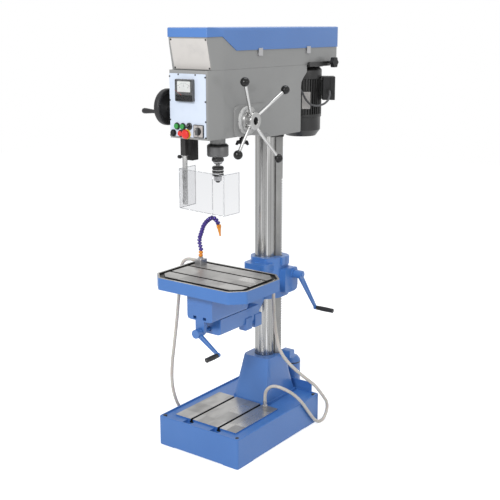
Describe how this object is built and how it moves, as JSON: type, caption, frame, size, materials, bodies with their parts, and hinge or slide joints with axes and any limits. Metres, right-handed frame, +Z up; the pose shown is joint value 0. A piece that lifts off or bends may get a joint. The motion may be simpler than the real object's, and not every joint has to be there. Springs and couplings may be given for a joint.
{
  "type": "pedestal drill press",
  "caption": "Belt driven pedestal drill press with a T-slotted base, round column with rack, elevating cross-slide table, quill feed levers, hinged belt cover and coolant circuit",
  "frame": {"origin": "the middle of the floor area that the rigid machine covers, at floor level", "axes": "+Z up along the column, -Y to the front where the operator stands, +X to the machine's right, the side of the feed levers"},
  "size_m": [0.6222, 1.07, 1.948],
  "materials": {
    "blue_paint": "semi-gloss enamel",
    "grey_paint": "semi-gloss enamel",
    "black_paint": "satin enamel",
    "black_plastic": "satin",
    "black_ball": "polished",
    "ground_steel": "ground and oiled",
    "dark_steel": "blackened",
    "chromed_steel": "polished",
    "panel_sheet": "satin, bare",
    "green_plastic": "gloss",
    "red_plastic": "gloss",
    "purple_plastic": "satin",
    "clear_sheet": "clear polycarbonate",
    "hose_vinyl": "clear braided vinyl",
    "conduit_vinyl": "satin",
    "belt_rubber": "dull"
  },
  "bodies": {
    "frame": {"base_casting": "blue_paint", "column_pedestal": "blue_paint", "column": "ground_steel", "column_rack": "dark_steel", "rack_clip": "black_paint", "coolant_pump": "blue_paint", "drain_fitting": "ground_steel", "supply_hose": "hose_vinyl", "drain_hose": "hose_vinyl", "head_casting": "grey_paint", "belt_housing": "grey_paint", "control_panel": "panel_sheet", "digital_readout": "black_plastic", "drive_belt": "belt_rubber", "guard_switch_box": "black_paint"},
    "lid": {"belt_lid": "blue_paint"},
    "front_latch": {"lid_latch_front": "ground_steel"},
    "rear_latch": {"lid_latch_rear": "ground_steel"},
    "motor": {"motor_plate": "black_paint", "motor_body": "black_paint", "fan_cover": "black_paint", "terminal_box": "black_plastic", "motor_conduit": "conduit_vinyl"},
    "motor_sheave": {"motor_pulley": "dark_steel"},
    "motor_lock": {"motor_lock_knob": "black_plastic"},
    "spindle_sheave": {"spindle_pulley": "dark_steel"},
    "quill_body": {"quill": "dark_steel"},
    "spindle_body": {"spindle": "chromed_steel", "drill_chuck": "dark_steel"},
    "chuck_collar": {"chuck_sleeve": "chromed_steel"},
    "feed_wheel": {"feed_spider": "chromed_steel", "feed_dial": "chromed_steel", "feed_knob_1": "black_ball", "feed_knob_2": "black_ball", "feed_knob_3": "black_ball", "feed_knob_4": "black_ball"},
    "quill_lock": {"quill_lock_knob": "black_plastic"},
    "speed_wheel": {"speed_handwheel": "black_plastic"},
    "guard_arm": {"guard_post": "black_paint"},
    "guard_screen": {"guard_shield": "clear_sheet"},
    "guard_clamp": {"guard_thumbscrew": "black_plastic"},
    "start_left": {"start_button_left": "green_plastic"},
    "start_right": {"start_button_right": "green_plastic"},
    "stop": {"stop_button": "red_plastic"},
    "jog": {"jog_button": "black_plastic"},
    "selector": {"mode_selector": "black_plastic"},
    "emergency": {"emergency_stop": "red_plastic"},
    "isolator": {"main_switch": "black_plastic"},
    "knee": {"knee_casting": "blue_paint"},
    "lift_handle": {"lift_crank": "blue_paint"},
    "lift_handle_grip": {"lift_grip": "black_plastic"},
    "lift_gear": {"lift_pinion": "dark_steel"},
    "table": {"work_table": "blue_paint", "table_saddle": "blue_paint", "coolant_stand": "ground_steel", "segmented_hose": "purple_plastic", "supply_hose_top": "hose_vinyl", "drain_hose_top": "hose_vinyl"},
    "cross_handle": {"cross_crank": "blue_paint"},
    "cross_handle_grip": {"cross_grip": "black_plastic"}
  },
  "joints": [
    {"name": "lid_hinge", "type": "hinge", "parent": "frame", "child": "lid", "pos_m": [-0.13997, 0.024, 1.845], "axis": [0, -1, 0], "range_deg": [0, 95]},
    {"name": "front_latch_pivot", "type": "hinge", "parent": "frame", "child": "front_latch", "pos_m": [0.10233, -0.131, 1.825], "axis": [0, 1, 0], "range_deg": [0, 90]},
    {"name": "rear_latch_pivot", "type": "hinge", "parent": "frame", "child": "rear_latch", "pos_m": [0.10233, 0.257, 1.825], "axis": [0, 1, 0], "range_deg": [0, 90]},
    {"name": "motor_tension", "type": "slide", "parent": "frame", "child": "motor", "axis": [0, 1, 0], "range_m": [-0.012, 0]},
    {"name": "motor_sheave_spin", "type": "hinge", "parent": "motor", "child": "motor_sheave", "pos_m": [-0.01497, 0.386, 1.8], "axis": [0, 0, 1], "continuous": true},
    {"name": "motor_lock_turn", "type": "hinge", "parent": "frame", "child": "motor_lock", "pos_m": [0.13503, 0.432, 1.779], "axis": [1, 0, 0], "range_deg": [0, 720]},
    {"name": "spindle_sheave_spin", "type": "hinge", "parent": "frame", "child": "spindle_sheave", "pos_m": [-0.01497, -0.286, 1.8], "axis": [0, 0, 1], "continuous": true},
    {"name": "quill_feed", "type": "slide", "parent": "frame", "child": "quill_body", "axis": [0, 0, 1], "range_m": [-0.13, 0], "stiffness_N_per_m": 800, "springref_m": 0.25},
    {"name": "spindle_spin", "type": "hinge", "parent": "quill_body", "child": "spindle_body", "pos_m": [-0.01497, -0.286, 1.4], "axis": [0, 0, 1], "continuous": true},
    {"name": "chuck_collar_turn", "type": "hinge", "parent": "spindle_body", "child": "chuck_collar", "pos_m": [-0.01497, -0.286, 1.29], "axis": [0, 0, 1], "range_deg": [-360, 360]},
    {"name": "feed_turn", "type": "hinge", "parent": "frame", "child": "feed_wheel", "pos_m": [0.13503, -0.24, 1.552], "axis": [1, 0, 0], "range_deg": [0, 414]},
    {"name": "quill_lock_turn", "type": "hinge", "parent": "frame", "child": "quill_lock", "pos_m": [0.05503, -0.198, 1.45], "axis": [0, 0, 1], "range_deg": [-90, 180]},
    {"name": "speed_wheel_turn", "type": "hinge", "parent": "frame", "child": "speed_wheel", "pos_m": [-0.15497, -0.456, 1.612], "axis": [1, 0, 0], "continuous": true},
    {"name": "guard_swing", "type": "hinge", "parent": "frame", "child": "guard_arm", "pos_m": [-0.12197, -0.386, 1.44], "axis": [0, 0, -1], "range_deg": [0, 110]},
    {"name": "guard_height", "type": "slide", "parent": "guard_arm", "child": "guard_screen", "axis": [0, 0, 1], "range_m": [-0.08, 0]},
    {"name": "guard_clamp_turn", "type": "hinge", "parent": "guard_screen", "child": "guard_clamp", "pos_m": [-0.13997, -0.386, 1.3864], "axis": [1, 0, 0], "range_deg": [-360, 360]},
    {"name": "start_left_press", "type": "slide", "parent": "frame", "child": "start_left", "axis": [0, 1, 0], "range_m": [0, 0.003], "stiffness_N_per_m": 300},
    {"name": "start_right_press", "type": "slide", "parent": "frame", "child": "start_right", "axis": [0, 1, 0], "range_m": [0, 0.003], "stiffness_N_per_m": 300},
    {"name": "stop_press", "type": "slide", "parent": "frame", "child": "stop", "axis": [0, 1, 0], "range_m": [0, 0.003], "stiffness_N_per_m": 300},
    {"name": "jog_press", "type": "slide", "parent": "frame", "child": "jog", "axis": [0, 1, 0], "range_m": [0, 0.003], "stiffness_N_per_m": 300},
    {"name": "emergency_press", "type": "slide", "parent": "frame", "child": "emergency", "axis": [0, 1, 0], "range_m": [0, 0.004], "stiffness_N_per_m": 600},
    {"name": "selector_turn", "type": "hinge", "parent": "frame", "child": "selector", "pos_m": [-0.00597, -0.488, 1.54], "axis": [0, 1, 0], "range_deg": [-60, 60]},
    {"name": "isolator_turn", "type": "hinge", "parent": "frame", "child": "isolator", "pos_m": [0.04503, -0.488, 1.522], "axis": [0, 1, 0], "range_deg": [0, 90]},
    {"name": "knee_lift", "type": "slide", "parent": "frame", "child": "knee", "axis": [0, 0, 1], "range_m": [-0.22, 0.24]},
    {"name": "lift_crank_turn", "type": "hinge", "parent": "knee", "child": "lift_handle", "pos_m": [0.12503, 0.154, 0.772], "axis": [1, 0, 0], "range_deg": [-3240, 3600]},
    {"name": "lift_grip_spin", "type": "hinge", "parent": "lift_handle", "child": "lift_handle_grip", "pos_m": [0.21207, 0.25465, 0.58428], "axis": [1, 0, 0], "continuous": true},
    {"name": "lift_gear_turn", "type": "hinge", "parent": "knee", "child": "lift_gear", "pos_m": [0.07066, 0.13661, 0.72], "axis": [0.5446, -0.8387, 0], "range_deg": [-540, 600]},
    {"name": "table_cross", "type": "slide", "parent": "knee", "child": "table", "axis": [0, 1, 0], "range_m": [-0.12, 0.025]},
    {"name": "cross_crank_turn", "type": "hinge", "parent": "table", "child": "cross_handle", "pos_m": [-0.01497, -0.446, 0.6017], "axis": [0, 1, 0], "range_deg": [-5580, 1260]},
    {"name": "cross_grip_spin", "type": "hinge", "parent": "cross_handle", "child": "cross_handle_grip", "pos_m": [0.10192, -0.486, 0.52285], "axis": [0, 1, 0], "continuous": true}
  ],
  "couplings": [
    {"joint": "feed_turn", "follows": "quill_feed", "rad_per_m": -55.556},
    {"joint": "spindle_sheave_spin", "follows": "spindle_spin", "ratio": 1},
    {"joint": "motor_sheave_spin", "follows": "spindle_spin", "ratio": 1.6939},
    {"joint": "lift_gear_turn", "follows": "knee_lift", "rad_per_m": 41.667},
    {"joint": "lift_crank_turn", "follows": "knee_lift", "rad_per_m": 250},
    {"joint": "cross_crank_turn", "follows": "table_cross", "rad_per_m": 785.4}
  ]
}
